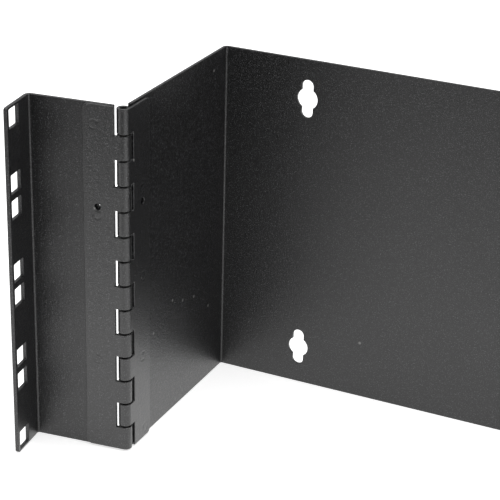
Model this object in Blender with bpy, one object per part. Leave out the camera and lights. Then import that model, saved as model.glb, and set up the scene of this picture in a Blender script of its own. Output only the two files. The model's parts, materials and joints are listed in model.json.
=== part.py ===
"""Hinged wall bracket for 19 inch rack equipment, four rack units high.

One folded sheet screws to the wall and carries the fixed rack flange on its right. A short folded
sheet carries the other rack flange and swings on a continuous hinge at the left wall's front edge.
The hinge is made as a real one is: each leaf is one strip, rolled round the pin along its whole
height and then notched, so that the knuckles of the two leaves interleave.

Lengths are in metres. X runs to the right along the wall, Y into the wall and Z up. The origin is
the middle of the face that lies on the wall. The swinging sheet stands open, as it was drawn.
"""

import math

import bmesh
import bpy
from mathutils import Matrix, Vector

# Rack standard
RACK_UNITS = 4
UNIT_HEIGHT = 0.04445
HOLE_LINES = 0.4651  # between the two columns of square holes
FIRST_HOLE = 0.00635  # from a unit's edge to its outer hole; the middle hole is left out
SQUARE_HOLE = 0.0095
SQUARE_HOLE_CORNER = 0.0005

# Folded sheets
HEIGHT_RELIEF = 0.0008  # how much lower the sheets are than their rack units
CLOSED_DEPTH = 0.152  # from the wall to the rack faces
WALL_SHEET = 0.0016
SWING_SHEET = 0.0019
BEND_RADIUS = 0.0007  # inside a bend
FLANGE_WIDTH = 0.0236  # fixed rack flange, over the outside of its bend
HOLE_TO_EDGE = 0.00675  # from a hole line to its flange's free edge
FLANGE_CORNER = 0.0015

# Keyholes for the wall screws: a round middle with a slot above and below
STUD_SPACING = 0.4064
KEYHOLE_INSET = 0.0202  # from the sheet's top or bottom edge to the keyhole's middle
KEYHOLE_HEAD = 0.0108
KEYHOLE_SLOT = 0.006
KEYHOLE_LENGTH = 0.0196

# Continuous hinge
HINGE_DEPTH = 0.1038  # from the wall to the middle of the pin
HINGE_RELIEF = 0.0008  # from a sheet's end to the hinge's, above and below
SHEET_EDGE = 0.0048  # from the middle of the pin to the cut edge of either sheet
LEAF_SHEET = 0.0015
LEAF_WIDTH = 0.01905  # from the middle of the pin to a leaf's free edge
LEAF_CORNER = 0.0025
KNUCKLES = 14
KNUCKLE_GAP = 0.0005  # between the ends of two knuckles
KNUCKLE_CLEARANCE = 0.0005  # from a knuckle to the leaf cut away beside it
NOTCH_CORNER = 0.0004
CURL_END = math.radians(20)  # where the roll stops, short of its own leaf
PIN_DIAMETER = 0.0032
PIN_CLEARANCE = 0.0001
PIN_RECESS = 0.0012
LEAF_GAP = 0.0003  # between a leaf and the sheet that it is welded to
LOCATING_HOLE = 0.0032
LOCATING_HOLE_REACH = 0.0119  # from the middle of the pin
LOCATING_HOLE_HEIGHT = 0.0388  # above the middle of the hinge
PILOT_HOLE = 0.0018  # in the swinging sheet, behind its leaf's locating hole

# How far the swinging sheet is turned out from in line with the left wall
OPEN_ANGLE = math.radians(83.6)

# Facets
BEND_STEPS = 6
CORNER_STEPS = 4
ROUND_STEPS = 24
CURL_STEPS = 36
SHARP_ANGLE = math.radians(30)
FLAT_ANGLE = math.radians(0.5)  # faces that turn less than this are one face
TOUCH = 1e-6  # places nearer than this are one place

# Finishes, as a linear grey and a roughness
COAT_GREY, COAT_ROUGHNESS = 0.0075, 0.4
HINGE_GREY, HINGE_ROUGHNESS = 0.0085, 0.37
STEEL_GREY, STEEL_ROUGHNESS = 0.1, 0.4

# Sizes that follow from the ones above
HEIGHT = RACK_UNITS * UNIT_HEIGHT - HEIGHT_RELIEF
OVERALL_WIDTH = HOLE_LINES + 2 * (FLANGE_WIDTH - HOLE_TO_EDGE)
BORE_RADIUS = PIN_DIAMETER / 2 + PIN_CLEARANCE
KNUCKLE_RADIUS = BORE_RADIUS + LEAF_SHEET
HINGE_LENGTH = HEIGHT - 2 * HINGE_RELIEF
KNUCKLE_PITCH = HINGE_LENGTH / KNUCKLES
NOTCH_END = KNUCKLE_RADIUS + KNUCKLE_CLEARANCE  # from the middle of the pin
SEAT = BORE_RADIUS - LEAF_GAP  # face of a sheet under its leaf, from the pin
PIN_X = -OVERALL_WIDTH / 2 + WALL_SHEET - SEAT


def clear_scene():
    """Empties the scene that the script starts in."""
    for thing in list(bpy.data.objects):
        bpy.data.objects.remove(thing, do_unlink=True)


def new_collection(name, hidden=False):
    """A collection in the scene. A hidden one is for the shapes that only cut others."""
    made = bpy.data.collections.new(name)
    bpy.context.scene.collection.children.link(made)
    made.hide_render = hidden
    return made


def finish(name, grey, roughness, metallic=0):
    """A plain material in one shade of grey."""
    made = bpy.data.materials.new(name)
    made.use_nodes = True
    shader = made.node_tree.nodes["Principled BSDF"]
    shader.inputs["Base Color"].default_value = (grey, grey, grey, 1)
    shader.inputs["Roughness"].default_value = roughness
    shader.inputs["Metallic"].default_value = metallic
    made.diffuse_color = (grey, grey, grey, 1)
    return made


def frame(name, location, turn, parts):
    """An empty that carries pieces: a place and a turn about the vertical."""
    empty = bpy.data.objects.new(name, None)
    empty.empty_display_size = 0.02
    empty.location = location
    empty.rotation_euler = (0, 0, turn)
    parts.objects.link(empty)
    return empty


def arc(centre, radius, start, end, steps):
    """Points along an arc, both ends included."""
    angles = [start + (end - start) * i / steps for i in range(steps + 1)]
    return [centre + radius * Vector((math.cos(a), math.sin(a))) for a in angles]


def rounded_box(low, high, radius):
    """Outline of a rectangle with rounded corners."""
    right, left = high.x - radius, low.x + radius
    top, bottom = high.y - radius, low.y + radius
    corners = [Vector((right, top)), Vector((left, top)), Vector((left, bottom)), Vector((right, bottom))]
    outline = []
    for i, corner in enumerate(corners):
        outline += arc(corner, radius, i * math.pi / 2, (i + 1) * math.pi / 2, CORNER_STEPS)
    return outline


def folded_outline(outer, thickness, inner_radius):
    """Outline of a sheet seen on edge. Its outer face follows the given corners, turning right."""
    first = (outer[1] - outer[0]).normalized()
    outside, inside = [outer[0]], [outer[0] + Vector((first.y, -first.x)) * thickness]
    outer_radius = inner_radius + thickness
    for before, corner, after in zip(outer, outer[1:], outer[2:]):
        into, out_of = (corner - before).normalized(), (after - corner).normalized()
        turn = into.angle(out_of)
        setback = outer_radius * math.tan(turn / 2)
        centre = corner - into * setback + Vector((into.y, -into.x)) * outer_radius
        start = math.atan2(into.x, -into.y)
        outside += arc(centre, outer_radius, start, start - turn, BEND_STEPS)
        inside += arc(centre, inner_radius, start, start - turn, BEND_STEPS)
    last = (outer[-1] - outer[-2]).normalized()
    outside.append(outer[-1])
    inside.append(outer[-1] + Vector((last.y, -last.x)) * thickness)
    return outside + inside[::-1]


def extruded(name, outlines, depth, collection, parent=None):
    """Flat outlines in X and Y made solid, half the depth to each side along Z."""
    curve = bpy.data.curves.new(name, "CURVE")
    curve.dimensions = "2D"
    curve.fill_mode = "BOTH"
    curve.extrude = depth / 2
    for outline in outlines:
        spline = curve.splines.new("POLY")
        spline.points.add(len(outline) - 1)
        for point, place in zip(spline.points, outline):
            point.co = (place.x, place.y, 0, 1)
        spline.use_cyclic_u = True
    drawn = bpy.data.objects.new(name, curve)
    bpy.context.scene.collection.objects.link(drawn)
    graph = bpy.context.evaluated_depsgraph_get()
    mesh = bpy.data.meshes.new_from_object(drawn.evaluated_get(graph))
    bpy.data.objects.remove(drawn, do_unlink=True)
    bpy.data.curves.remove(curve)
    close_up(mesh)
    if not collection.hide_render:
        shade(mesh)
    solid = bpy.data.objects.new(name, mesh)
    solid.parent = parent
    collection.objects.link(solid)
    return solid


def close_up(mesh):
    """Joins the caps to the sides and makes each flat face one face again."""
    shape = bmesh.new()
    shape.from_mesh(mesh)
    bmesh.ops.remove_doubles(shape, verts=shape.verts, dist=TOUCH)
    bmesh.ops.dissolve_limit(shape, angle_limit=FLAT_ANGLE, verts=shape.verts, edges=shape.edges)
    bmesh.ops.recalc_face_normals(shape, faces=shape.faces)
    if shape.calc_volume(signed=True) < 0:
        bmesh.ops.reverse_faces(shape, faces=shape.faces)
    shape.to_mesh(mesh)
    shape.free()


def shade(mesh):
    """Smooth across a bend or a roll, sharp at an edge."""
    mesh.shade_smooth()
    mesh.set_sharp_from_angle(angle=SHARP_ANGLE)


def round_corners(solid, at_corner, radius):
    """Rounds the level edges, through the sheet, whose two ends pass the test."""
    shape = bmesh.new()
    shape.from_mesh(solid.data)
    corners = [e for e in shape.edges if all(at_corner(v.co) for v in e.verts)]
    level = [e for e in corners if abs(e.verts[0].co.z - e.verts[1].co.z) < TOUCH]
    bmesh.ops.bevel(shape, geom=level, offset=radius, segments=CORNER_STEPS, profile=0.5, affect="EDGES")
    shape.to_mesh(solid.data)
    shape.free()
    shade(solid.data)


def cut(target, cutter):
    """Takes the cutter's shape out of the target."""
    cutter.display_type = "WIRE"
    cutter.hide_render = True
    boolean = target.modifiers.new(cutter.name, "BOOLEAN")
    boolean.operation = "DIFFERENCE"
    boolean.solver = "EXACT"
    boolean.object = cutter


def unit_hole_heights():
    """Heights of a flange's square holes from the middle of the bracket."""
    bottom = -RACK_UNITS * UNIT_HEIGHT / 2
    return [
        bottom + unit * UNIT_HEIGHT + offset
        for unit in range(RACK_UNITS)
        for offset in (FIRST_HOLE, UNIT_HEIGHT - FIRST_HOLE)
    ]


def rack_hole_outlines():
    """Outlines of one column of square holes."""
    half = Vector((SQUARE_HOLE / 2, SQUARE_HOLE / 2))
    middles = [Vector((0, height)) for height in unit_hole_heights()]
    return [rounded_box(m - half, m + half, SQUARE_HOLE_CORNER) for m in middles]


def keyhole_outline(middle):
    """A circle with a round-ended slot running out of it above and below."""
    head, slot = KEYHOLE_HEAD / 2, KEYHOLE_SLOT / 2
    reach = KEYHOLE_LENGTH / 2 - slot
    side = math.acos(slot / head)
    upper = arc(middle + Vector((0, reach)), slot, 0, math.pi, ROUND_STEPS // 2)
    left = arc(middle, head, math.pi - side, math.pi + side, ROUND_STEPS // 2)
    lower = arc(middle - Vector((0, reach)), slot, math.pi, 2 * math.pi, ROUND_STEPS // 2)
    right = arc(middle, head, -side, side, ROUND_STEPS // 2)
    return upper + left + lower + right


def wall_bracket(parts, cutters):
    """Back panel, left wall, right wall and fixed rack flange, folded from one sheet."""
    half, front = OVERALL_WIDTH / 2, -(HINGE_DEPTH - SHEET_EDGE)
    path = [
        Vector((-half, front)),
        Vector((-half, 0)),
        Vector((half, 0)),
        Vector((half, -CLOSED_DEPTH)),
        Vector((half - FLANGE_WIDTH, -CLOSED_DEPTH)),
    ]
    outline = folded_outline(path, WALL_SHEET, BEND_RADIUS)
    sheet = extruded("wall_bracket", [outline], HEIGHT, parts)
    free_edge = half - FLANGE_WIDTH + TOUCH
    round_corners(sheet, lambda co: co.x < free_edge and co.y < -HINGE_DEPTH, FLANGE_CORNER)

    holes = extruded("fixed_flange_holes", rack_hole_outlines(), 4 * WALL_SHEET, cutters)
    holes.location = (HOLE_LINES / 2, -CLOSED_DEPTH, 0)
    holes.rotation_euler = (math.pi / 2, 0, 0)
    cut(sheet, holes)

    across, up = STUD_SPACING / 2, HEIGHT / 2 - KEYHOLE_INSET
    middles = [Vector((x, z)) for x in (-across, across) for z in (-up, up)]
    keyholes = extruded("keyholes", [keyhole_outline(m) for m in middles], 4 * WALL_SHEET, cutters)
    keyholes.rotation_euler = (math.pi / 2, 0, 0)
    cut(sheet, keyholes)
    return sheet


def swing_bracket(hinge, parts, cutters):
    """Hinge plate and swinging rack flange, folded from one sheet.

    In the hinge's frame X runs from the pin along the plate and Y to the side that faces the
    bracket's inside when it is shut.
    """
    reach = CLOSED_DEPTH - HINGE_DEPTH
    back = SEAT - SWING_SHEET
    hole_line = -HOLE_LINES / 2 - PIN_X
    path = [Vector((reach, hole_line + HOLE_TO_EDGE)), Vector((reach, back)), Vector((SHEET_EDGE, back))]
    outline = folded_outline(path, SWING_SHEET, BEND_RADIUS)
    sheet = extruded("swing_bracket", [outline], HEIGHT, parts, hinge)
    free_edge = hole_line + HOLE_TO_EDGE - TOUCH
    round_corners(sheet, lambda co: co.y > free_edge, FLANGE_CORNER)

    holes = extruded("swing_flange_holes", rack_hole_outlines(), 4 * SWING_SHEET, cutters, hinge)
    holes.location = (reach, hole_line, 0)
    holes.rotation_euler = (math.pi / 2, 0, math.pi / 2)
    cut(sheet, holes)

    pilot = extruded("pilot_hole", [locating_outline(PILOT_HOLE)], 4 * SWING_SHEET, cutters, hinge)
    pilot.rotation_euler = (math.pi / 2, 0, 0)
    cut(sheet, pilot)
    return sheet


def locating_outline(width):
    """A circle at the place of the locating hole, seen along the leaf and upwards."""
    middle = Vector((LOCATING_HOLE_REACH, LOCATING_HOLE_HEIGHT))
    return arc(middle, width / 2, 0, 2 * math.pi, ROUND_STEPS)[:-1]


def curl_outline(side):
    """A leaf seen on edge: flat, then rolled round the pin. The side is 1 or -1 along Y."""
    turn = 2 * math.pi + CURL_END
    outside = arc(Vector((0, 0)), KNUCKLE_RADIUS, math.pi / 2, turn, CURL_STEPS)
    inside = arc(Vector((0, 0)), BORE_RADIUS, turn, math.pi / 2, CURL_STEPS)
    flat = [Vector((LEAF_WIDTH, BORE_RADIUS)), Vector((LEAF_WIDTH, KNUCKLE_RADIUS))]
    return [Vector((point.x, side * point.y)) for point in outside + inside + flat]


def notch_outlines(first):
    """Where the other leaf's knuckles pass, counting from the hinge's top."""
    outlines = []
    for number in range(first, KNUCKLES, 2):
        top = HINGE_LENGTH / 2 - number * KNUCKLE_PITCH + KNUCKLE_GAP / 2
        bottom = top - KNUCKLE_PITCH - KNUCKLE_GAP
        if number == 0:
            top += KNUCKLE_PITCH / 2
        if number == KNUCKLES - 1:
            bottom -= KNUCKLE_PITCH / 2
        low, high = Vector((-2 * KNUCKLE_RADIUS, bottom)), Vector((NOTCH_END, top))
        outlines.append(rounded_box(low, high, NOTCH_CORNER))
    return outlines


def hinge_leaf(name, hinge, side, first_notch, parts, cutters):
    """One leaf: a strip rolled round the pin, notched, with its locating hole."""
    leaf = extruded(name, [curl_outline(side)], HINGE_LENGTH, parts, hinge)
    free_edge = LEAF_WIDTH - TOUCH
    round_corners(leaf, lambda co: co.x > free_edge, LEAF_CORNER)

    openings = notch_outlines(first_notch) + [locating_outline(LOCATING_HOLE)]
    notches = extruded(name + "_notches", openings, 4 * KNUCKLE_RADIUS, cutters, hinge)
    notches.rotation_euler = (math.pi / 2, 0, 0)
    cut(leaf, notches)
    return leaf


def hinge_pin(hinge, parts):
    """The wire that both leaves turn on, a little short of the hinge at each end."""
    mesh = bpy.data.meshes.new("hinge_pin")
    shape = bmesh.new()
    bmesh.ops.create_cone(
        shape,
        cap_ends=True,
        segments=ROUND_STEPS,
        radius1=PIN_DIAMETER / 2,
        radius2=PIN_DIAMETER / 2,
        depth=HINGE_LENGTH - 2 * PIN_RECESS,
        matrix=Matrix.Identity(4),
    )
    shape.to_mesh(mesh)
    shape.free()
    shade(mesh)
    pin = bpy.data.objects.new("hinge_pin", mesh)
    pin.parent = hinge
    parts.objects.link(pin)
    return pin


def main():
    clear_scene()
    parts = new_collection("hinged_wall_bracket")
    cutters = new_collection("cutters", hidden=True)
    pin_place = (PIN_X, -HINGE_DEPTH, 0)
    fixed_side = frame("fixed_hinge_side", pin_place, math.pi / 2, parts)
    swing_side = frame("swing_hinge_side", pin_place, -math.pi / 2 - OPEN_ANGLE, parts)

    wall = wall_bracket(parts, cutters)
    swing = swing_bracket(swing_side, parts, cutters)
    fixed_leaf = hinge_leaf("fixed_hinge_leaf", fixed_side, -1, 1, parts, cutters)
    moving_leaf = hinge_leaf("moving_hinge_leaf", swing_side, 1, 0, parts, cutters)
    pin = hinge_pin(fixed_side, parts)

    wall.data.materials.append(finish("wall_bracket_coat", COAT_GREY, COAT_ROUGHNESS))
    swing.data.materials.append(finish("swing_bracket_coat", COAT_GREY, COAT_ROUGHNESS))
    fixed_leaf.data.materials.append(finish("fixed_leaf_coat", HINGE_GREY, HINGE_ROUGHNESS))
    moving_leaf.data.materials.append(finish("moving_leaf_coat", HINGE_GREY, HINGE_ROUGHNESS))
    pin.data.materials.append(finish("pin_steel", STEEL_GREY, STEEL_ROUGHNESS, metallic=1))


main()
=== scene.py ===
"""Looks of a hinged wall-mount rack bracket, folded from black powder-coated sheet steel.

Lengths are in metres in the frame's own axes: X to the right along the wall, Y into the wall and
Z up. Each sheet is made as the real one is: a flat blank is punched, and then folded. A place on
a blank is a length along the fold line and a height, and a third number is the depth through the
sheet, from its middle. Every shape here is worked out for whole arrays of such places at once.
"""

import json
import math
from collections import namedtuple

import bpy
import numpy as np
from bpy.props import FloatProperty, FloatVectorProperty, IntProperty, PointerProperty
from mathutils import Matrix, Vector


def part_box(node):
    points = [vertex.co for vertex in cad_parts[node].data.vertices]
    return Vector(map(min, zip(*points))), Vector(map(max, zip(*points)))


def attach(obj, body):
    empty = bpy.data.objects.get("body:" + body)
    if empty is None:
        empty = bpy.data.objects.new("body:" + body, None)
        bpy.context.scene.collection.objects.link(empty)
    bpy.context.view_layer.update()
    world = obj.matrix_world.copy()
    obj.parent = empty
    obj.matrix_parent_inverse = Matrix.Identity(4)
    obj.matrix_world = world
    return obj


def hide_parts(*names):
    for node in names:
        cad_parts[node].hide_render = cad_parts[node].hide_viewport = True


bl_info = {
    "name": "Hinged rack bracket looks",
    "version": (1, 0, 0),
    "blender": (4, 5, 0),
    "location": "3D View > Sidebar > Bracket",
    "description": "Makes the finished sheets, hinge and stage of a hinged rack bracket",
    "category": "Object",
}

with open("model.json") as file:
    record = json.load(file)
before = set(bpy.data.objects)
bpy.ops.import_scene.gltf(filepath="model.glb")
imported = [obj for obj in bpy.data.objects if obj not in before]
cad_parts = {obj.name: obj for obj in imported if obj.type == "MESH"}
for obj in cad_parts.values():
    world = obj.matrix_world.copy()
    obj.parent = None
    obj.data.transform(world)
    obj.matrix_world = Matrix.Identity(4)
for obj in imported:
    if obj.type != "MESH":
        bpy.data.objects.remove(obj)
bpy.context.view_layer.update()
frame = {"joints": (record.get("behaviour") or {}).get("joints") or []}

# What the frame gives
WALL_LOW, WALL_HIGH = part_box("wall_bracket")
HALF_WIDTH = WALL_HIGH.x
HALF_HEIGHT = WALL_HIGH.z
CLOSED_DEPTH = -WALL_LOW.y
HINGE_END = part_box("fixed_hinge_leaf")[1].z
HINGE = frame["joints"][0]
PIN_PLACE = np.array(HINGE["pos_m"][:2])
SHUT_TURN = math.radians(HINGE["range_deg"][1])
FIXED_HEADING = math.pi / 2  # from the pin along the left wall
SWING_HEADING = -math.pi / 2 - SHUT_TURN  # from the pin along the open plate

# Rack standard
RACK_UNITS = 4
UNIT_HEIGHT = 0.04445
HOLE_LINES = 0.4651
FIRST_HOLE = 0.00635

# How finely the surfaces are drawn
BEND_STEPS = 8
EDGE_STEPS = 3
CORNER_STEPS = 4
CORNER_SHARES = (0.0, 0.4, 0.7, 1.0)  # grid lines in a rounded corner, from the edge inwards
ROUND_STEPS = 12
BORED_STEPS = 8
CURL_STEPS = 32
WELD_STEPS = 20
WELD_WIDTHS = 3  # how many of its widths a weld's ring fades over
SHEET_CELL = 0.012
LEAF_CELL = 0.002
RACK_HOLE_MARGIN = 0.0004  # from a hole's outline to the grid that goes round it
BORED_MARGIN = 0.0008
KEYHOLE_MARGIN = 0.0026
MARK_DIGITS = 7  # decimals that a grid line's place keeps
TOUCH = 1e-7  # lengths below this count as nothing
CELL_SLACK = 1e-6  # the same, as a share of a cell
CORNER_SLACK = 1e-3  # the same, as a share of a rounded corner

Hole = namedtuple("Hole", "centre half right top")


def linear(code):
    """A colour as three linear values, from its sRGB hex code."""
    shares = np.array([int(code[i : i + 2], 16) for i in (0, 2, 4)]) / 255
    return tuple(np.where(shares <= 0.04045, shares / 12.92, ((shares + 0.055) / 1.055) ** 2.4))


class BracketSheetSizes(bpy.types.PropertyGroup):
    """The two folded sheets."""

    wall_sheet: FloatProperty(
        name="Wall sheet", description="Thickness of the sheet on the wall", default=0.0016, unit="LENGTH"
    )
    swing_sheet: FloatProperty(
        name="Swing sheet", description="Thickness of the swinging sheet", default=0.0019, unit="LENGTH"
    )
    bend_radius: FloatProperty(
        name="Bend radius", description="Radius inside each bend", default=0.001, unit="LENGTH"
    )
    edge_radius: FloatProperty(
        name="Edge radius", description="Radius of a coated sheet edge", default=0.00025, unit="LENGTH"
    )
    flange_width: FloatProperty(
        name="Flange width", description="Fixed flange, over its bend", default=0.0236, unit="LENGTH"
    )
    flange_corner: FloatProperty(
        name="Flange corner", description="Radius of a rack flange's corners", default=0.0015, unit="LENGTH"
    )
    hole_to_edge: FloatProperty(
        name="Hole to edge", description="From a hole line to the free edge", default=0.00675, unit="LENGTH"
    )
    square_hole: FloatProperty(
        name="Square hole", description="Width of a square rack hole", default=0.0095, unit="LENGTH"
    )
    square_corner: FloatProperty(
        name="Hole corner", description="Radius in a square hole's corners", default=0.0005, unit="LENGTH"
    )
    stud_spacing: FloatProperty(
        name="Stud spacing", description="Between the keyhole columns", default=0.4064, unit="LENGTH"
    )
    keyhole_inset: FloatProperty(
        name="Keyhole inset", description="From the sheet's edge to a keyhole", default=0.0202, unit="LENGTH"
    )
    keyhole_head: FloatProperty(
        name="Keyhole head", description="Width of a keyhole's round middle", default=0.0108, unit="LENGTH"
    )
    keyhole_slot: FloatProperty(
        name="Keyhole slot", description="Width of a keyhole's slots", default=0.006, unit="LENGTH"
    )
    keyhole_length: FloatProperty(
        name="Keyhole length", description="Height of a whole keyhole", default=0.0196, unit="LENGTH"
    )


class BracketHingeSizes(bpy.types.PropertyGroup):
    """The continuous hinge."""

    leaf_sheet: FloatProperty(
        name="Leaf sheet", description="Thickness of a leaf", default=0.0015, unit="LENGTH"
    )
    leaf_width: FloatProperty(
        name="Leaf width", description="From the pin's middle to a leaf's edge", default=0.01905,
        unit="LENGTH",
    )
    leaf_corner: FloatProperty(
        name="Leaf corner", description="Radius of a leaf's corners", default=0.0025, unit="LENGTH"
    )
    leaf_gap: FloatProperty(
        name="Leaf gap", description="Between a leaf and its sheet", default=0.0003, unit="LENGTH"
    )
    knuckles: IntProperty(name="Knuckles", description="Knuckles of both leaves together", default=14, min=3)
    knuckle_gap: FloatProperty(
        name="Knuckle gap", description="Between the ends of two knuckles", default=0.0008, unit="LENGTH"
    )
    knuckle_clearance: FloatProperty(
        name="Knuckle clearance", description="From a knuckle to the cut leaf", default=0.0004, unit="LENGTH"
    )
    sheet_edge: FloatProperty(
        name="Sheet edge", description="From the pin's middle to a sheet's cut edge", default=0.0044,
        unit="LENGTH",
    )
    curl_end: FloatProperty(
        name="Curl end", description="Where a knuckle's roll stops, past a full turn",
        default=math.radians(20), subtype="ANGLE", unit="ROTATION",
    )
    pin_diameter: FloatProperty(
        name="Pin diameter", description="Diameter of the hinge pin", default=0.0032, unit="LENGTH"
    )
    pin_clearance: FloatProperty(
        name="Pin clearance", description="Round the pin, inside a knuckle", default=0.0001, unit="LENGTH"
    )
    pin_recess: FloatProperty(
        name="Pin recess", description="From the hinge's end to the pin's", default=0.0012, unit="LENGTH"
    )
    pin_edge: FloatProperty(
        name="Pin edge", description="Radius of the edges at the pin's ends", default=0.0003, unit="LENGTH"
    )
    edge_radius: FloatProperty(
        name="Edge radius", description="Radius of a leaf's cut edges", default=0.0003, unit="LENGTH"
    )
    locating_hole: FloatProperty(
        name="Locating hole", description="Diameter of the locating hole", default=0.0032, unit="LENGTH"
    )
    locating_reach: FloatProperty(
        name="Hole reach", description="From the pin to the locating hole", default=0.0119, unit="LENGTH"
    )
    locating_height: FloatProperty(
        name="Hole height", description="Of the locating hole above the middle", default=0.0388,
        unit="LENGTH",
    )
    pilot_hole: FloatProperty(
        name="Pilot hole", description="In the swinging sheet, behind the locating hole", default=0.0014,
        unit="LENGTH",
    )
    weld_radius: FloatProperty(
        name="Weld radius", description="Radius of a spot weld's ring", default=0.0022, unit="LENGTH"
    )
    weld_depth: FloatProperty(
        name="Weld depth", description="How deep the ring is pressed in", default=0.0001, unit="LENGTH"
    )
    weld_width: FloatProperty(
        name="Weld width", description="Half width of the pressed ring", default=0.00045, unit="LENGTH"
    )


class BracketCoat(bpy.types.PropertyGroup):
    """The powder coat and the pin's steel."""

    coat_colour: FloatVectorProperty(
        name="Coat colour", description="Black powder coat", subtype="COLOR", size=3,
        default=linear("070708"),
    )
    fleck_colour: FloatVectorProperty(
        name="Fleck colour", description="Paler flecks in the coat", subtype="COLOR", size=3,
        default=linear("5c5c5e"),
    )
    # Also the colour of the painted highlight in the moving leaf's locating hole.
    dust_and_glint_colour: FloatVectorProperty(
        name="Dust colour", description="Pale dust on the coat", subtype="COLOR", size=3,
        default=linear("8f8f8d"),
    )
    steel_colour: FloatVectorProperty(
        name="Pin colour", description="Dark drawn steel", subtype="COLOR", size=3,
        default=linear("5a5855"),
    )
    sheet_roughness: FloatProperty(
        name="Sheet roughness", description="Gloss of the coat on the sheets", default=0.36, subtype="FACTOR"
    )
    hinge_roughness: FloatProperty(
        name="Hinge roughness", description="Gloss of the coat on the hinge", default=0.31, subtype="FACTOR"
    )
    sheet_gloss: FloatProperty(
        name="Sheet gloss", description="Strength of the sheets' mirroring", default=0.56, subtype="FACTOR"
    )
    hinge_gloss: FloatProperty(
        name="Hinge gloss", description="Strength of the hinge's mirroring", default=0.66, subtype="FACTOR"
    )
    gloss_drift: FloatProperty(
        name="Gloss drift", description="How far the roughness drifts each way", default=0.03,
        subtype="FACTOR",
    )
    drift_size: FloatProperty(
        name="Drift size", description="Width of a patch of the gloss drift", default=0.045, unit="LENGTH"
    )
    peel_size: FloatProperty(
        name="Peel size", description="Width of an orange-peel wave", default=0.0016, unit="LENGTH"
    )
    peel_height: FloatProperty(
        name="Peel height", description="Height of an orange-peel wave", default=0.00008, unit="LENGTH"
    )
    grain_size: FloatProperty(
        name="Grain size", description="Width of a grain in the coat", default=0.0005, unit="LENGTH"
    )
    grain_height: FloatProperty(
        name="Grain height", description="Height of a grain in the coat", default=0.00015, unit="LENGTH"
    )
    fleck_range: FloatVectorProperty(
        name="Fleck range", description="Grain heights where a fleck starts and is full", size=2,
        default=(0.56, 0.72),
    )
    coat_ior: FloatProperty(name="Coat IOR", description="Of the coat's polyester", default=1.5)
    speck_spacing: FloatProperty(
        name="Speck spacing", description="Cell of the specks' pattern", default=0.008, unit="LENGTH"
    )
    speck_range: FloatVectorProperty(
        name="Speck range", description="Where a speck ends and is full, in cells", size=2,
        default=(0.05, 0.02),
    )
    speck_amount: FloatProperty(
        name="Speck amount", description="Dust in a full speck", default=0.5, subtype="FACTOR"
    )
    speck_share: FloatProperty(
        name="Speck share", description="Cells that hold a speck", default=0.1, subtype="FACTOR"
    )
    # Also sets the full core of the painted highlight in the locating hole.
    mark_core: FloatProperty(
        name="Mark core", description="Share of a dust mark that is full", default=0.3, subtype="FACTOR"
    )
    draw_mark: FloatProperty(
        name="Draw mark", description="Width of a mark along the drawn pin", default=0.0002, unit="LENGTH"
    )
    draw_stretch: FloatProperty(
        name="Draw stretch", description="Length of such a mark, in its own widths", default=50.0
    )
    pin_roughness: FloatVectorProperty(
        name="Pin roughness", description="Between the marks and in them", size=2, default=(0.3, 0.5)
    )


class BracketStudio(bpy.types.PropertyGroup):
    """The floor, the lights and the camera."""

    floor_reach: FloatProperty(
        name="Floor reach", description="From the middle to the floor's edge", default=8.0, unit="LENGTH"
    )
    floor_roughness: FloatProperty(
        name="Floor roughness", description="Of the matt paper", default=0.9, subtype="FACTOR"
    )
    floor_colour: FloatVectorProperty(
        name="Floor colour", description="White paper", subtype="COLOR", size=3, default=linear("f4f4f4")
    )
    # Painted shadow: a soft dark grey patch painted on the floor in front, which the camera sees only in a
    # gloss. Its colour, middle and reach follow.
    painted_shadow_colour: FloatVectorProperty(
        name="Patch colour", description="Dark grey patch of the floor", subtype="COLOR", size=3,
        default=linear("1c1c1c"),
    )
    painted_shadow_place: FloatVectorProperty(
        name="Patch place", description="Middle of the dark patch in front", size=2, unit="LENGTH",
        default=(-0.2, -0.95),
    )
    painted_shadow_reach: FloatVectorProperty(
        name="Patch reach", description="Where the patch starts to fade, and ends", size=2, unit="LENGTH",
        default=(0.42, 0.66),
    )
    floor_glow: FloatProperty(
        name="Floor glow", description="What brings the paper up to white in view", default=0.6
    )
    gloss_glow: FloatProperty(
        name="Glow in gloss", description="The same, where a gloss mirrors the paper", default=1.0
    )
    sky_strength: FloatProperty(name="Sky strength", description="Even light from all round", default=0.55)
    lamp_power: FloatProperty(
        name="Lamp power", description="Soft lamp overhead", default=12.5, unit="POWER"
    )
    lamp_size: FloatVectorProperty(
        name="Lamp size", description="Along the wall and out from it", size=2, unit="LENGTH",
        default=(2.0, 0.8),
    )
    lamp_height: FloatProperty(name="Lamp height", description="Above the floor", default=1.1, unit="LENGTH")
    lamp_place: FloatVectorProperty(
        name="Lamp place", description="Along and across the wall", size=2, unit="LENGTH", default=(0.0, 0.1)
    )
    eye: FloatVectorProperty(
        name="Camera place", description="Where the camera stands", subtype="TRANSLATION", unit="LENGTH",
        default=(0.11628, -0.75581, 0.35284),
    )
    tilt: FloatVectorProperty(
        name="Camera tilt", description="How the camera is turned", subtype="EULER",
        default=tuple(math.radians(a) for a in (65.8793, -1.3156, 25.3823)),
    )
    lens: FloatProperty(
        name="Lens", description="Focal length on a 36 mm wide sensor", default=126.552, unit="CAMERA"
    )
    clip_start: FloatProperty(
        name="Clip start", description="Nearest that the camera draws", default=0.01, unit="LENGTH"
    )


# The blank: punched outlines on a grid


def grid_lines(marks, widest, soft=(), clear=0.0):
    """Grid lines through every mark, with even steps between them no wider than the given one.

    The soft marks are left out where they come too close to one of the others.
    """
    marks = np.unique(np.round(marks, MARK_DIGITS))
    soft = np.array([m for m in soft if np.abs(marks - m).min() > clear])
    marks = np.unique(np.append(marks, soft))
    runs = [
        np.linspace(a, b, max(1, math.ceil((b - a) / widest - CELL_SLACK)), endpoint=False)
        for a, b in zip(marks, marks[1:])
    ]
    return np.append(np.concatenate(runs), marks[-1])


def quarter_turned(side):
    """A hole's right side carried round to be its top side."""
    return np.column_stack([-side[:, 1], side[:, 0]])


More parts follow.
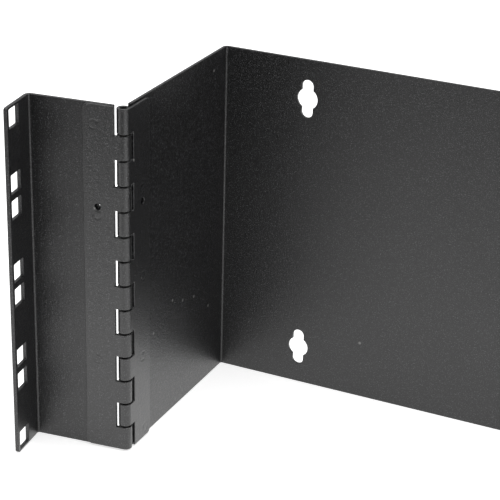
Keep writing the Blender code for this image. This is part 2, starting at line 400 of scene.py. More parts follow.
def square_hole(centre, half, corner):
    """A square hole. Each side is straight, with half of each rounded corner at its ends."""
    turn = np.linspace(0, math.pi / 4, CORNER_STEPS + 1)[:, None]
    upper = half - corner + corner * np.hstack([np.cos(turn), np.sin(turn)])
    right = np.concatenate([upper[::-1] * (1, -1), upper])
    return Hole(np.array(centre), np.full(2, half + RACK_HOLE_MARGIN), right, quarter_turned(right))


def round_hole(centre, radius):
    """A round hole: each side is a quarter of the circle."""
    turn = np.linspace(-math.pi / 4, math.pi / 4, BORED_STEPS // 2 + 1)[:, None]
    right = radius * np.hstack([np.cos(turn), np.sin(turn)])
    return Hole(np.array(centre), np.full(2, radius + BORED_MARGIN), right, quarter_turned(right))


def keyhole(centre, sizes):
    """A circle with a round-ended slot above and below it.

    The right side is the slot's end, its straight edge, the circle's arc, and the same again
    upwards. The top side is the middle half of the upper slot's end.
    """
    head, slot = sizes.keyhole_head / 2, sizes.keyhole_slot / 2
    reach = sizes.keyhole_length / 2 - slot
    meet = math.acos(slot / head)
    bulge = np.linspace(-meet, meet, ROUND_STEPS + 1)[:, None]
    belly = head * np.hstack([np.cos(bulge), np.sin(bulge)])
    end = np.linspace(0, math.pi / 4, ROUND_STEPS // 4 + 1)[:, None]
    upper = slot * np.hstack([np.cos(end), np.sin(end)]) + (0, reach)
    right = np.concatenate([upper[::-1] * (1, -1), belly, upper])
    crown = np.linspace(math.pi / 4, 3 * math.pi / 4, ROUND_STEPS // 2 + 1)[:, None]
    top = slot * np.hstack([np.cos(crown), np.sin(crown)]) + (0, reach)
    half = np.array([head, sizes.keyhole_length / 2]) + KEYHOLE_MARGIN
    return Hole(np.array(centre), half, right, top)


def own_lines(hole, axis):
    """Grid lines that meet a hole's points on its margin box: 0 along the fold line, 1 upwards."""
    side = (hole.top, hole.right)[axis]
    return hole.centre[axis] + hole.half[axis] * np.linspace(-1, 1, len(side))


def along(side, share):
    """Points on one side of a hole, each as far along its corners as the share says, 0 to 1."""
    corner = np.arange(len(side))
    place = share * (len(side) - 1)
    return np.column_stack([np.interp(place, corner, side[:, 0]), np.interp(place, corner, side[:, 1])])


def hole_ring(hole, s_lines, z_lines, number):
    """The grid points round a hole's margin box, and the hole's point that faces each of them."""
    low, high = hole.centre - hole.half, hole.centre + hole.half
    i0, i1 = np.searchsorted(s_lines, (low[0] - TOUCH, high[0] - TOUCH))
    j0, j1 = np.searchsorted(z_lines, (low[1] - TOUCH, high[1] - TOUCH))
    across = (s_lines - low[0]) / (high[0] - low[0])
    up = (z_lines - low[1]) / (high[1] - low[1])
    ring = [number[i0:i1, j0], number[i1, j0:j1], number[i1:i0:-1, j1], number[i0, j1:j0:-1]]
    outline = [
        along(-hole.top, across[i0:i1]),
        along(hole.right, up[j0:j1]),
        along(hole.top, 1 - across[i1:i0:-1]),
        along(-hole.right, 1 - up[j1:j0:-1]),
    ]
    return np.concatenate(ring), hole.centre + np.concatenate(outline)


def blank(s_lines, z_lines, holes=(), gaps=()):
    """Points and four-sided faces of a punched blank.

    The blank is a grid. A gap drops the cells between its limits. A hole drops those in its
    margin box, and a ring of faces then joins each grid point on the box to the point that lies
    the same share of the way along that side of the hole.
    """
    s, z = np.meshgrid(s_lines, z_lines, indexing="ij")
    number = np.arange(s.size).reshape(s.shape)
    corners = [number[:-1, :-1], number[1:, :-1], number[1:, 1:], number[:-1, 1:]]
    cells = np.stack(corners, axis=-1)
    mid_s = (s_lines[:-1] + s_lines[1:])[:, None] / 2
    mid_z = (z_lines[:-1] + z_lines[1:])[None, :] / 2
    boxes = [(*(h.centre - h.half), *(h.centre + h.half)) for h in holes] + list(gaps)
    keep = np.ones(cells.shape[:2], bool)
    for low_s, low_z, high_s, high_z in boxes:
        keep &= ~((mid_s > low_s) & (mid_s < high_s) & (mid_z > low_z) & (mid_z < high_z))
    points, faces = [np.column_stack([s.ravel(), z.ravel()])], [cells[keep]]
    count = s.size
    for hole in holes:
        ring, outline = hole_ring(hole, s_lines, z_lines, number)
        inner = count + np.arange(len(ring))
        faces.append(np.column_stack([ring, np.roll(ring, -1), np.roll(inner, -1), inner]))
        points.append(outline)
        count += len(ring)
    points, faces = np.concatenate(points), np.concatenate(faces)
    used = np.unique(faces)
    return points[used], np.searchsorted(used, faces)


def round_corner(points, corner, inward, radius):
    """Carries the square beside a corner of the blank onto a quarter circle.

    With x and y running from 0 on the square's inner sides to 1 on its outer sides, a point goes
    to x times the root of 1 - y²/2, and y times the root of 1 - x²/2. The outer sides land on
    the arc, and the inner sides stay where they are.
    """
    scale = -radius * np.array(inward)
    start = np.array(corner) - scale
    share = (points - start) / scale
    near = np.all((share > 0) & (share < 1 + CORNER_SLACK), axis=1)
    x, y = share[near].T
    moved = np.column_stack([x * np.sqrt(1 - y * y / 2), y * np.sqrt(1 - x * x / 2)])
    points[near] = start + moved * scale


def outline_of(points, faces):
    """Edges used by one face only, each with the blank on its left, and the way out at each point.

    The way out is the sum of the two edges' own: both of length 1 and at right angles to them.
    """
    ends = np.stack([faces, np.roll(faces, -1, axis=1)], axis=-1).reshape(-1, 2)
    code = np.sort(ends, axis=1) @ np.array([len(points), 1])
    _, where, times = np.unique(code, return_inverse=True, return_counts=True)
    ends = ends[times[where.ravel()] == 1]
    run = points[ends[:, 1]] - points[ends[:, 0]]
    out = np.column_stack([run[:, 1], -run[:, 0]]) / np.linalg.norm(run, axis=1)[:, None]
    total = np.zeros_like(points)
    np.add.at(total, ends.ravel(), np.repeat(out, 2, axis=0))
    return ends, total


# The fold: a blank carried along a line of straight runs and even bends


def follow(line, s):
    """Place and heading at each length s along a fold line.

    A straight run goes on along its heading. On a bend the heading turns evenly, so the place
    moves by the change in its sine and its cosine, over the bend per metre.
    """
    row = line[np.clip(np.searchsorted(line[:, 0], s, side="right") - 1, 0, None)]
    gone, first, bend = s - row[:, 0], row[:, 3], row[:, 4]
    heading = first + bend * gone
    safe = np.where(bend == 0, 1, bend)
    run = np.where(bend == 0, gone * np.cos(first), (np.sin(heading) - np.sin(first)) / safe)
    rise = np.where(bend == 0, gone * np.sin(first), (np.cos(first) - np.cos(heading)) / safe)
    return row[:, 1] + run, row[:, 2] + rise, heading


def fold_line(start, heading, runs):
    """Rows of start length, place, heading and bend per metre, from each run's length and turn."""
    rows, length = [], 0.0
    x, y = start
    for run, turn in runs:
        rows.append((length, x, y, heading, turn / run))
        length += run
        ends = follow(np.array(rows[-1:]), np.array([length]))
        x, y, heading = (float(value[0]) for value in ends)
    return np.array(rows), length


def from_hinge(heading, reach, side):
    """World place of a point given from the pin: along the plate, and to its left."""
    turn = np.array([[math.cos(heading), -math.sin(heading)], [math.sin(heading), math.cos(heading)]])
    return PIN_PLACE + turn @ (reach, side)


def bend_marks(line, length, steps):
    """Grid lines of the fold: each run's start and end, and even steps through the bends."""
    ends = np.append(line[:, 0], length)
    marks = [ends]
    for start, stop, bend in zip(ends, ends[1:], line[:, 4]):
        if bend:
            marks.append(np.linspace(start, stop, steps + 1))
    return np.concatenate(marks)


def ring_press(places, rings, radius, depth, width):
    """How deep the spot welds' rings are pressed in, and the slope that leaves on the face.

    A ring's depth falls off from its circle as exp(-(distance / width)²).
    """
    pressed, slope = np.zeros(len(places)), np.zeros((len(places), 2))
    for ring in rings:
        away = places - np.array(ring)
        reach = np.maximum(np.linalg.norm(away, axis=1), TOUCH)
        off = (reach - radius) / width
        deep = depth * np.exp(-(off**2))
        pressed += deep
        slope += (-2 * off / width * deep / reach)[:, None] * away
    return pressed, slope


def folded_sheet(name, line, points, faces, thickness, edge, press=None, pressed_side=1):
    """A folded sheet with rounded edges, from its flat blank.

    The two faces are the blank at half the thickness to each side, drawn in by the edge radius
    along the outline. The rim between them is a half turn of rings: at turn t a ring is drawn in
    by the radius times 1 - sin t, and stands at a depth that follows cos t at each face. Its
    normal is sin t outwards and cos t through the sheet.
    """
    ends, total = outline_of(points, faces)
    rim = np.unique(ends)
    length = np.linalg.norm(total[rim], axis=1)[:, None]
    out, mitre = total[rim] / length, 2 * total[rim] / length**2
    flat = points.copy()
    flat[rim] -= mitre * edge
    half = thickness / 2
    quarter = np.linspace(0, math.pi / 2, EDGE_STEPS + 1)
    turns = np.concatenate([quarter, quarter + math.pi / 2])
    straight = np.repeat((half - edge, edge - half), EDGE_STEPS + 1)

    places, depths = [flat, flat], [np.full(len(flat), half), np.full(len(flat), -half)]
    normals = [np.tile((0.0, 0.0, 1.0), (len(flat), 1)), np.tile((0.0, 0.0, -1.0), (len(flat), 1))]
    if press:
        face = 0 if pressed_side > 0 else 1
        pressed, slope = press(flat)
        depths[face] = depths[face] - pressed_side * pressed
        normals[face][:, :2] = slope
    for turn, level in zip(turns[1:-1], straight[1:-1]):
        places.append(points[rim] - mitre * edge * (1 - math.sin(turn)))
        depths.append(np.full(len(rim), level + edge * math.cos(turn)))
        normals.append(np.column_stack([out * math.sin(turn), np.full(len(rim), math.cos(turn))]))
    places, depths, normals = np.concatenate(places), np.concatenate(depths), np.concatenate(normals)

    middle = 2 * len(flat) + np.arange((len(turns) - 2) * len(rim)).reshape(-1, len(rim))
    rings = np.vstack([rim, middle, len(flat) + rim])
    first, second = np.searchsorted(rim, ends).T
    strips = [
        np.column_stack([upper[first], lower[first], lower[second], upper[second]])
        for upper, lower in zip(rings, rings[1:])
    ]
    # Length, height and depth make a left-handed set of axes, so each face is turned round.
    shell = np.concatenate([faces, (faces + len(flat))[:, ::-1], *strips])[:, ::-1]

    x, y, heading = follow(line, places[:, 0])
    ahead = np.column_stack([np.cos(heading), np.sin(heading), np.zeros(len(heading))])
    left = np.column_stack([-np.sin(heading), np.cos(heading), np.zeros(len(heading))])
    body = np.column_stack([x, y, places[:, 1]]) + depths[:, None] * left
    facing = ahead * normals[:, :1] + left * normals[:, 2:] + normals[:, 1:2] * (0, 0, 1)
    return piece(name, body, shell.tolist(), facing)


def piece(name, points, faces, normals):
    """A mesh object at the origin, shaded by the given normals."""
    mesh = bpy.data.meshes.new(name)
    mesh.from_pydata(points.tolist(), [], faces)
    mesh.shade_smooth()
    length = np.linalg.norm(normals, axis=1)[:, None]
    mesh.normals_split_custom_set_from_vertices((normals / length).tolist())
    made = bpy.data.objects.new(name, mesh)
    bpy.context.scene.collection.objects.link(made)
    return made


# Shapes of the pieces


def unit_hole_heights():
    """Heights of a flange's square holes: the outer two of each rack unit."""
    low = UNIT_HEIGHT * (np.arange(RACK_UNITS) - RACK_UNITS / 2) + FIRST_HOLE
    return np.sort(np.concatenate([low, low + UNIT_HEIGHT - 2 * FIRST_HOLE]))


def rack_holes(s, sizes):
    """One column of square holes at a length along the fold line."""
    half, corner = sizes.square_hole / 2, sizes.square_corner
    return [square_hole((s, z), half, corner) for z in unit_hole_heights()]


def corner_marks(value, inward, radius):
    """Grid lines that draw one rounded corner of the blank."""
    return value + inward * radius * np.array(CORNER_SHARES)


def flanged_blank(line, length, free, inward, holes, sizes):
    """Punched blank of a sheet whose rack flange has rounded corners at its free edge.

    The free edge is at 0 or at the whole length, and inward is 1 or -1 to match.
    """
    s_marks = [bend_marks(line, length, BEND_STEPS), corner_marks(free, inward, sizes.flange_corner)]
    z_marks = [corner_marks(end * HALF_HEIGHT, -end, sizes.flange_corner) for end in (-1, 1)]
    s_lines = grid_lines(np.concatenate(s_marks + [own_lines(h, 0) for h in holes]), SHEET_CELL)
    z_lines = grid_lines(np.concatenate(z_marks + [own_lines(h, 1) for h in holes]), SHEET_CELL)
    points, faces = blank(s_lines, z_lines, holes)
    for end in (-1, 1):
        round_corner(points, (free, end * HALF_HEIGHT), (inward, -end), sizes.flange_corner)
    return points, faces


def wall_sheet(sizes):
    """Back panel, both walls and the fixed rack flange, folded from one blank."""
    thick, bend = sizes.wall_sheet, sizes.bend_radius
    hinge = bpy.context.scene.bracket_hinge
    setback = bend + thick
    turn = ((bend + thick / 2) * math.pi / 2, -math.pi / 2)
    front = PIN_PLACE[1] + hinge.sheet_edge
    runs = [
        (-front - setback, 0),
        turn,
        (2 * (HALF_WIDTH - setback), 0),
        turn,
        (CLOSED_DEPTH - 2 * setback, 0),
        turn,
        (sizes.flange_width - setback, 0),
    ]
    line, length = fold_line((-HALF_WIDTH + thick / 2, front), math.pi / 2, runs)
    back_start = line[2, 0] + HALF_WIDTH - setback
    up = HALF_HEIGHT - sizes.keyhole_inset
    keyholes = [
        keyhole((back_start + x, z), sizes)
        for x in (-sizes.stud_spacing / 2, sizes.stud_spacing / 2)
        for z in (-up, up)
    ]
    holes = keyholes + rack_holes(length - sizes.hole_to_edge, sizes)
    points, faces = flanged_blank(line, length, length, -1, holes, sizes)
    return folded_sheet("wall_sheet", line, points, faces, thick, sizes.edge_radius)


def swing_sheet(sizes):
    """Hinge plate and swinging rack flange, from the flange's free edge to the hinge."""
    thick, bend = sizes.swing_sheet, sizes.bend_radius
    hinge = bpy.context.scene.bracket_hinge
    setback = bend + thick
    back = seat(hinge) - thick
    reach = CLOSED_DEPTH + PIN_PLACE[1]
    free = -HOLE_LINES / 2 - PIN_PLACE[0] + sizes.hole_to_edge
    runs = [
        (free - back - setback, 0),
        ((bend + thick / 2) * math.pi / 2, -math.pi / 2),
        (reach - setback - hinge.sheet_edge, 0),
    ]
    start = from_hinge(SWING_HEADING, reach - thick / 2, free)
    line, length = fold_line(start, SWING_HEADING - math.pi / 2, runs)
    pilot = (length + hinge.sheet_edge - hinge.locating_reach, hinge.locating_height)
    holes = rack_holes(sizes.hole_to_edge, sizes) + [round_hole(pilot, hinge.pilot_hole / 2)]
    points, faces = flanged_blank(line, length, 0, 1, holes, sizes)
    return folded_sheet("swing_sheet", line, points, faces, thick, sizes.edge_radius)


def bore(hinge):
    """Inner radius of a knuckle."""
    return hinge.pin_diameter / 2 + hinge.pin_clearance


def notch_end(hinge):
    """From the pin to the leaf that is cut away beside a knuckle."""
    return bore(hinge) + hinge.leaf_sheet + hinge.knuckle_clearance


def seat(hinge):
    """From the pin to the face of the sheet under a leaf."""
    return bore(hinge) - hinge.leaf_gap


def notches(hinge, first, start, stop):
    """Gaps in a leaf where the other leaf's knuckles pass, counting from the hinge's top."""
    pitch = 2 * HINGE_END / hinge.knuckles
    gaps = []
    for number in range(first, hinge.knuckles, 2):
        low = HINGE_END - (number + 1) * pitch - hinge.knuckle_gap / 2
        high = low + pitch + hinge.knuckle_gap if number else HALF_HEIGHT
        gaps.append((start, low, stop, high))
    return gaps


def hinge_leaf(name, hinge, heading, side, first_notch, top, welds):
    """One leaf, from its free edge to the end of its roll round the pin.

    The fold line is straight for the leaf's width and then a circle of the bore's radius and
    half the sheet. The side is 1 where the leaf lies to the left of its plate and -1 to the right.
    """
    thick = hinge.leaf_sheet
    radius = bore(hinge) + thick / 2
    curl = 1.5 * math.pi + hinge.curl_end
    start = from_hinge(heading, hinge.leaf_width, side * radius)
    runs = [(hinge.leaf_width, 0), (radius * curl, side * curl)]
    line, length = fold_line(start, heading + math.pi, runs)

    root = hinge.leaf_width - notch_end(hinge)
    gaps = notches(hinge, first_notch, root, 2 * length)
    centre = (hinge.leaf_width - hinge.locating_reach, hinge.locating_height)
    hole = round_hole(centre, hinge.locating_hole / 2)
    rings = [(hinge.leaf_width - reach, height) for reach, height in welds]
    fine = np.linspace(-1, 1, WELD_STEPS + 1) * (hinge.weld_radius + WELD_WIDTHS * hinge.weld_width)
    s_soft = np.concatenate([s + fine for s, _ in rings])
    z_soft = np.concatenate([z + fine for _, z in rings])
    ends = np.clip([(low, high) for _, low, _, high in gaps], -HINGE_END, top).ravel()
    s_marks = [bend_marks(line, length, CURL_STEPS), corner_marks(0, 1, hinge.leaf_corner)]
    z_marks = [corner_marks(-HINGE_END, 1, hinge.leaf_corner), corner_marks(top, -1, hinge.leaf_corner)]
    clear = 2 * hinge.edge_radius
    s_marks = np.concatenate([*s_marks, [root], own_lines(hole, 0)])
    z_marks = np.concatenate([*z_marks, ends, own_lines(hole, 1)])
    s_lines = grid_lines(s_marks, LEAF_CELL, s_soft, clear)
    z_lines = grid_lines(z_marks, LEAF_CELL, z_soft, clear)
    points, faces = blank(s_lines, z_lines, [hole], gaps)
    for end, inward in ((-HINGE_END, 1), (top, -1)):
        round_corner(points, (0, end), (1, inward), hinge.leaf_corner)

    def press(places):
        return ring_press(places, rings, hinge.weld_radius, hinge.weld_depth, hinge.weld_width)

    return folded_sheet(name, line, points, faces, thick, hinge.edge_radius, press, -side)


def hinge_pin(hinge):
    """A turned wire: its profile of radius and height carried round the pin's axis."""
    radius, end, edge = hinge.pin_diameter / 2, HINGE_END - hinge.pin_recess, hinge.pin_edge
    quarter = np.linspace(0, math.pi / 2, EDGE_STEPS + 1)
    top_radius, top_height = radius - edge + edge * np.cos(quarter), end - edge + edge * np.sin(quarter)
    profile_radius = np.concatenate([top_radius[::-1], top_radius])
    profile_height = np.concatenate([top_height[::-1], -top_height])
    slope = np.concatenate([quarter[::-1], -quarter])
    turn = np.linspace(0, 2 * math.pi, 2 * ROUND_STEPS, endpoint=False)
    round_x, round_y = np.cos(turn)[:, None], np.sin(turn)[:, None]
    x = PIN_PLACE[0] + round_x * profile_radius
    y = PIN_PLACE[1] + round_y * profile_radius
    z = np.broadcast_to(profile_height, x.shape)
    points = np.stack([x, y, z], axis=-1).reshape(-1, 3)
    rise = np.broadcast_to(np.sin(slope), x.shape)
    way = np.stack([round_x * np.cos(slope), round_y * np.cos(slope), rise], axis=-1)
    number = np.arange(x.size).reshape(x.shape)
    after = np.roll(number, -1, axis=0)
    walls = np.stack([number[:, :-1], number[:, 1:], after[:, 1:], after[:, :-1]], axis=-1).reshape(-1, 4)
    faces = walls.tolist() + [number[:, 0].tolist(), number[::-1, -1].tolist()]
    return piece("pin", points, faces, way.reshape(-1, 3))


# Finishes


def add(tree, kind, links=None, **settings):
    """Adds a node with its settings. A link's value is a socket to join or a number to set."""
    made = tree.nodes.new("ShaderNode" + kind)
    for name, value in settings.items():
        setattr(made, name, value)
    for name, value in (links or {}).items():
        if isinstance(value, bpy.types.NodeSocket):
            tree.links.new(value, made.inputs[name])
        else:
            made.inputs[name].default_value = value
    return made


def new_material(name):
    """An empty material and its node tree."""
    made = bpy.data.materials.new(name)
    made.use_nodes = True
    made.node_tree.nodes.clear()
    return made, made.node_tree


def dust_and_glint_on(tree, place, looks, marks):
    """How much dust lies at a place: the densest of the round marks, each soft at its edge.

    Besides the marks there are sparse specks: one cell in ten of a loose pattern holds one.
    The marks are dust, except the one in the moving leaf's locating hole, which is a painted
    highlight.
    """
    cells = add(tree, "TexVoronoi", {"Vector": place, "Scale": 1 / looks.speck_spacing})
    edge, full = looks.speck_range
    limits = {"Value": cells.outputs["Distance"], "From Min": edge, "From Max": full}
    near = add(tree, "MapRange", {**limits, "To Max": looks.speck_amount}).outputs["Result"]
    pick = add(tree, "SeparateColor", {"Color": cells.outputs["Color"]}).outputs["Red"]
    chosen = add(tree, "Math", {0: pick, 1: 1 - looks.speck_share}, operation="GREATER_THAN").outputs[0]
    most = add(tree, "Math", {0: near, 1: chosen}, operation="MULTIPLY").outputs[0]
    for spot, size, amount in marks:
        away = add(tree, "VectorMath", {0: place, 1: spot}, operation="DISTANCE").outputs["Value"]
        limits = {"Value": away, "From Min": size, "From Max": looks.mark_core * size, "To Max": amount}
        here = add(tree, "MapRange", limits, interpolation_type="SMOOTHSTEP").outputs["Result"]
        most = add(tree, "Math", {0: most, 1: here}, operation="MAXIMUM").outputs[0]
    return most


def powder_coat(name, looks, roughness, gloss, marks=()):
    """Black polyester powder coat, baked on steel.

    It is semi-matt and slightly waved, like orange peel, with a fine grain, so that what it
    mirrors is soft and a little broken. The grain's tops are pale flecks, which keep the black
    from looking flat. Pale dust lies on it in a few small marks. On the moving leaf, one such
    pale mark, in its locating hole, is a painted highlight.
    """
    made, tree = new_material(name)
    place = add(tree, "TexCoord").outputs["Object"]
    grain = add(tree, "TexNoise", {"Vector": place, "Scale": 1 / looks.grain_size, "Detail": 2.0})
    start, full = looks.fleck_range
    limits = {"Value": grain.outputs["Fac"], "From Min": start, "From Max": full}
    flecks = add(tree, "MapRange", limits).outputs["Result"]
    peel = add(tree, "TexNoise", {"Vector": place, "Scale": 1 / looks.peel_size, "Detail": 1.0})
    # The coat's gloss drifts a little over patches that are some centimetres wide.
    drift = add(tree, "TexNoise", {"Vector": place, "Scale": 1 / looks.drift_size, "Detail": 2.0})
    low, high = roughness - looks.gloss_drift, roughness + looks.gloss_drift
    rough = add(tree, "MapRange", {"Value": drift.outputs["Fac"], "To Min": low, "To Max": high})
    relief = {"Height": peel.outputs["Fac"], "Distance": looks.peel_height, "Strength": 1.0}
    waves = add(tree, "Bump", relief).outputs["Normal"]
    relief = {"Height": grain.outputs["Fac"], "Distance": looks.grain_height, "Strength": 1.0}
    grains = add(tree, "Bump", {**relief, "Normal": waves})
    colour = mix_colours(tree, flecks, (*looks.coat_colour, 1), (*looks.fleck_colour, 1))
    # Dust, and on the moving leaf a painted highlight, both in the dust colour
    dust = dust_and_glint_on(tree, place, looks, marks)
    colour = mix_colours(tree, dust, colour, (*looks.dust_and_glint_colour, 1))
    shader = add(
        tree,
        "BsdfPrincipled",
        {
            "Base Color": colour,
            "Roughness": rough.outputs["Result"],
            "IOR": looks.coat_ior,
            "Specular IOR Level": gloss,
            "Normal": grains.outputs["Normal"],
        },
    )
    add(tree, "OutputMaterial", {"Surface": shader.outputs["BSDF"]})
    return made


def mix_colours(tree, share, first, second):
    """The first colour turned into the second by the share."""
    return add(tree, "Mix", {0: share, 6: first, 7: second}, data_type="RGBA").outputs[2]


def drawn_steel(name, looks):
    """Drawn steel wire, dark from its drawing lubricant, with fine marks along its length."""
    made, tree = new_material(name)
    place = add(tree, "TexCoord").outputs["Object"]
    stretched = add(tree, "Mapping", {"Vector": place, "Scale": (1, 1, 1 / looks.draw_stretch)})
    pattern = {"Vector": stretched.outputs["Vector"], "Scale": 1 / looks.draw_mark, "Detail": 2.0}
    marks = add(tree, "TexNoise", pattern)
    plain, marked = looks.pin_roughness
    rough = add(tree, "MapRange", {"Value": marks.outputs["Fac"], "To Min": plain, "To Max": marked})
    shader = add(
        tree,
        "BsdfPrincipled",
        {"Base Color": (*looks.steel_colour, 1), "Metallic": 1.0, "Roughness": rough.outputs["Result"]},
    )
    add(tree, "OutputMaterial", {"Surface": shader.outputs["BSDF"]})
    return made


# Marks on the coat, as place, size and amount of pale colour: dust, and one painted highlight
WALL_DUST = [
    ((-0.2478, -0.0578, -0.0276), 0.0011, 0.70),
    ((-0.2478, -0.0468, -0.0323), 0.0011, 0.65),
    ((-0.2478, -0.0345, -0.0353), 0.0011, 0.65),
    ((-0.2478, -0.0179, -0.0475), 0.0011, 0.65),
    ((-0.2478, -0.0778, -0.0370), 0.0011, 0.60),
    ((-0.2478, -0.0151, 0.0796), 0.0011, 0.65),
    ((-0.1688, -0.0016, -0.0579), 0.0011, 0.85),
]
# Painted highlight: the glint on a drop of coat at the locating hole's rim, drawn as a pale mark
HOLE_PAINTED_GLINT = [((-0.26202, -0.10836, 0.03795), 0.0009, 0.90)]  # a drop in the locating hole
LEAF_DUST = [((-0.2459, -0.1001, 0.0618), 0.0008, 0.90)]

# Spot welds, as distance from the pin and height
SWING_WELDS = [(0.0136, 0.079), (0.0120, 0.035), (0.0123, -0.040), (0.0137, -0.0815)]
WALL_WELDS = [(0.0116, 0.045), (0.0125, 0.0), (0.0120, -0.0425), (0.0136, -0.0825)]


# Operators


def dress(made, body, node, material):
    """Gives a finished piece its material and its body, and hides the plain solid it stands for."""
    made.data.materials.append(material)
    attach(made, body)
    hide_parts(node)


class BRACKET_OT_wall_sheet(bpy.types.Operator):
    """Make the folded sheet that screws to the wall"""

    bl_idname = "rack_bracket.wall_sheet"
    bl_label = "Wall sheet"

    def execute(self, context):
        looks = context.scene.bracket_coat
        shine = looks.sheet_roughness, looks.sheet_gloss
        coat = powder_coat("wall_sheet_powder_coat", looks, *shine, WALL_DUST)
        dress(wall_sheet(context.scene.bracket_sheets), "wall_side", "wall_bracket", coat)
        return {"FINISHED"}


class BRACKET_OT_swing_sheet(bpy.types.Operator):
    """Make the folded sheet that swings with its rack flange"""

    bl_idname = "rack_bracket.swing_sheet"
    bl_label = "Swing sheet"

    def execute(self, context):
        looks = context.scene.bracket_coat
        shine = looks.sheet_roughness, looks.sheet_gloss
        coat = powder_coat("swing_sheet_powder_coat", looks, *shine)
        dress(swing_sheet(context.scene.bracket_sheets), "swing_side", "swing_bracket", coat)
        return {"FINISHED"}


class BRACKET_OT_hinge_leaves(bpy.types.Operator):
    """Make the two notched leaves of the continuous hinge"""

    bl_idname = "rack_bracket.hinge_leaves"
    bl_label = "Hinge leaves"

    def execute(self, context):
        looks, hinge = context.scene.bracket_coat, context.scene.bracket_hinge
        shine = looks.hinge_roughness, looks.hinge_gloss
        coat = powder_coat("fixed_leaf_powder_coat", looks, *shine, LEAF_DUST)
        leaf = hinge_leaf("fixed_leaf", hinge, FIXED_HEADING, -1, 1, HINGE_END, WALL_WELDS)
        dress(leaf, "wall_side", "fixed_hinge_leaf", coat)
        # The moving leaf's coat carries a painted highlight in its locating hole.
        coat = powder_coat("moving_leaf_powder_coat", looks, *shine, HOLE_PAINTED_GLINT)
        leaf = hinge_leaf("moving_leaf", hinge, SWING_HEADING, 1, 0, HALF_HEIGHT, SWING_WELDS)
        dress(leaf, "swing_side", "moving_hinge_leaf", coat)
        return {"FINISHED"}


class BRACKET_OT_hinge_pin(bpy.types.Operator):
    """Make the wire that both leaves turn on"""

    bl_idname = "rack_bracket.hinge_pin"
    bl_label = "Hinge pin"

    def execute(self, context):
        steel = drawn_steel("pin_drawn_steel", context.scene.bracket_coat)
        dress(hinge_pin(context.scene.bracket_hinge), "wall_side", "hinge_pin", steel)
        return {"FINISHED"}


def seen_glow(tree, in_view, in_gloss):
    """Glow for a ray from the camera, and for one off a gloss or through a clear thing; else 0."""
    path = add(tree, "LightPath")
    kinds = {0: path.outputs["Is Glossy Ray"], 1: path.outputs["Is Transmission Ray"]}
    gloss = add(tree, "Math", kinds, operation="MAXIMUM").outputs[0]
    mirrored = add(tree, "Math", {0: gloss, 1: in_gloss}, operation="MULTIPLY").outputs[0]
    steps = {0: path.outputs["Is Camera Ray"], 1: in_view, 2: mirrored}
    return add(tree, "Math", steps, operation="MULTIPLY_ADD").outputs[0]


def floor_material(studio):
    """Matt white paper with a soft dark patch in front, which the camera sees only in a gloss.

    What the camera sees of the floor is brought up to white, and so is what a gloss sees of it
    away from the patch. The patch is a painted shadow, which the hinge's round knuckles mirror as
    a dark line.
    """
    made, tree = new_material("studio_floor")
    place = add(tree, "TexCoord").outputs["Object"]
    # The painted shadow: darkest round its middle, and fading out over its reach.
    middle = (*studio.painted_shadow_place, -HALF_HEIGHT)
    away = add(tree, "VectorMath", {0: place, 1: middle}, operation="DISTANCE").outputs["Value"]
    limits = {"Value": away, "From Min": studio.painted_shadow_reach[0], "From Max": studio.painted_shadow_reach[1]}
    paper = add(tree, "MapRange", limits, interpolation_type="SMOOTHSTEP").outputs["Result"]
    in_view = add(tree, "LightPath").outputs["Is Camera Ray"]
    shown = add(tree, "Math", {0: paper, 1: in_view}, operation="MAXIMUM").outputs[0]
    # White paper where the camera looks. Every other ray sees the painted shadow's dark grey in the patch.
    colour = mix_colours(tree, shown, (*studio.painted_shadow_colour, 1), (*studio.floor_colour, 1))
    mirrored = add(tree, "Math", {0: paper, 1: studio.gloss_glow}, operation="MULTIPLY").outputs[0]
    shader = add(
        tree,
        "BsdfPrincipled",
        {
            "Base Color": colour,
            "Roughness": studio.floor_roughness,
            "Specular IOR Level": 0.0,
            "Emission Color": (1, 1, 1, 1),
            "Emission Strength": seen_glow(tree, studio.floor_glow, mirrored),
        },
    )
    add(tree, "OutputMaterial", {"Surface": shader.outputs["BSDF"]})
    return made


def studio_world(studio):
    """Even white light from all round."""
    world = bpy.data.worlds.new("studio")
    world.use_nodes = True
    tree = world.node_tree
    tree.nodes.clear()
    even = add(tree, "Background", {"Color": (1, 1, 1, 1), "Strength": studio.sky_strength})
    add(tree, "OutputWorld", {"Surface": even.outputs["Background"]})
    return world


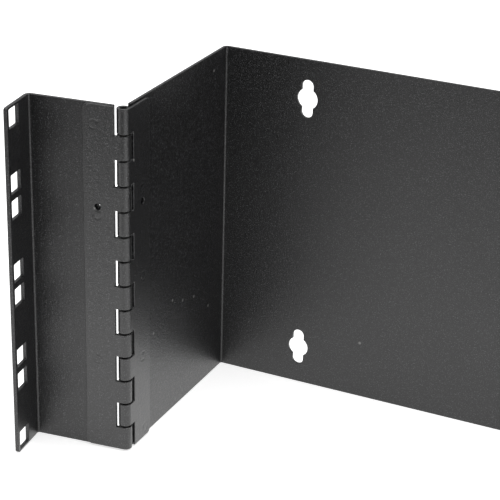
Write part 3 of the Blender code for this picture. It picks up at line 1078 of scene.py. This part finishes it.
class BRACKET_OT_stage(bpy.types.Operator):
    """Make the floor, the lights and the camera"""

    bl_idname = "rack_bracket.stage"
    bl_label = "Stage"

    def execute(self, context):
        scene, studio = context.scene, context.scene.bracket_studio
        mesh = bpy.data.meshes.new("floor")
        reach = studio.floor_reach
        corners = [(-reach, -reach), (reach, -reach), (reach, reach), (-reach, reach)]
        mesh.from_pydata([(x, y, -HALF_HEIGHT) for x, y in corners], [], [(0, 1, 2, 3)])
        mesh.materials.append(floor_material(studio))
        floor = bpy.data.objects.new("floor", mesh)
        scene.collection.objects.link(floor)

        scene.world = studio_world(studio)
        lamp = bpy.data.lights.new("soft_lamp", "AREA")
        lamp.energy = studio.lamp_power
        lamp.shape = "RECTANGLE"
        lamp.size, lamp.size_y = studio.lamp_size
        hung = bpy.data.objects.new("soft_lamp", lamp)
        hung.location = (*studio.lamp_place, studio.lamp_height - HALF_HEIGHT)
        scene.collection.objects.link(hung)

        camera = bpy.data.cameras.new("camera")
        camera.lens = studio.lens
        camera.clip_start = studio.clip_start
        stood = bpy.data.objects.new("camera", camera)
        stood.location = studio.eye
        stood.rotation_euler = studio.tilt
        scene.collection.objects.link(stood)
        scene.camera = stood
        scene.view_settings.view_transform = "Standard"
        return {"FINISHED"}


class BRACKET_PT_panel(bpy.types.Panel):
    """Lists the pieces and the stage in the sidebar"""

    bl_idname = "BRACKET_PT_panel"
    bl_label = "Hinged rack bracket"
    bl_space_type = "VIEW_3D"
    bl_region_type = "UI"
    bl_category = "Bracket"

    def draw(self, context):
        for maker in MAKERS:
            self.layout.operator(maker.bl_idname)
        for name in SETTINGS:
            box = self.layout.box()
            group = getattr(context.scene, name)
            for key in group.__annotations__:
                box.prop(group, key)


SETTINGS = {
    "bracket_sheets": BracketSheetSizes,
    "bracket_hinge": BracketHingeSizes,
    "bracket_coat": BracketCoat,
    "bracket_studio": BracketStudio,
}
MAKERS = [
    BRACKET_OT_stage,
    BRACKET_OT_wall_sheet,
    BRACKET_OT_swing_sheet,
    BRACKET_OT_hinge_leaves,
    BRACKET_OT_hinge_pin,
]


def register():
    for name, group in SETTINGS.items():
        bpy.utils.register_class(group)
        setattr(bpy.types.Scene, name, PointerProperty(type=group))
    for maker in (*MAKERS, BRACKET_PT_panel):
        bpy.utils.register_class(maker)


def unregister():
    for maker in (BRACKET_PT_panel, *reversed(MAKERS)):
        bpy.utils.unregister_class(maker)
    for name, group in SETTINGS.items():
        delattr(bpy.types.Scene, name)
        bpy.utils.unregister_class(group)


def main():
    register()
    bpy.ops.rack_bracket.stage()
    bpy.ops.rack_bracket.wall_sheet()
    bpy.ops.rack_bracket.swing_sheet()
    bpy.ops.rack_bracket.hinge_leaves()
    bpy.ops.rack_bracket.hinge_pin()


if __name__ == "__main__":
    main()
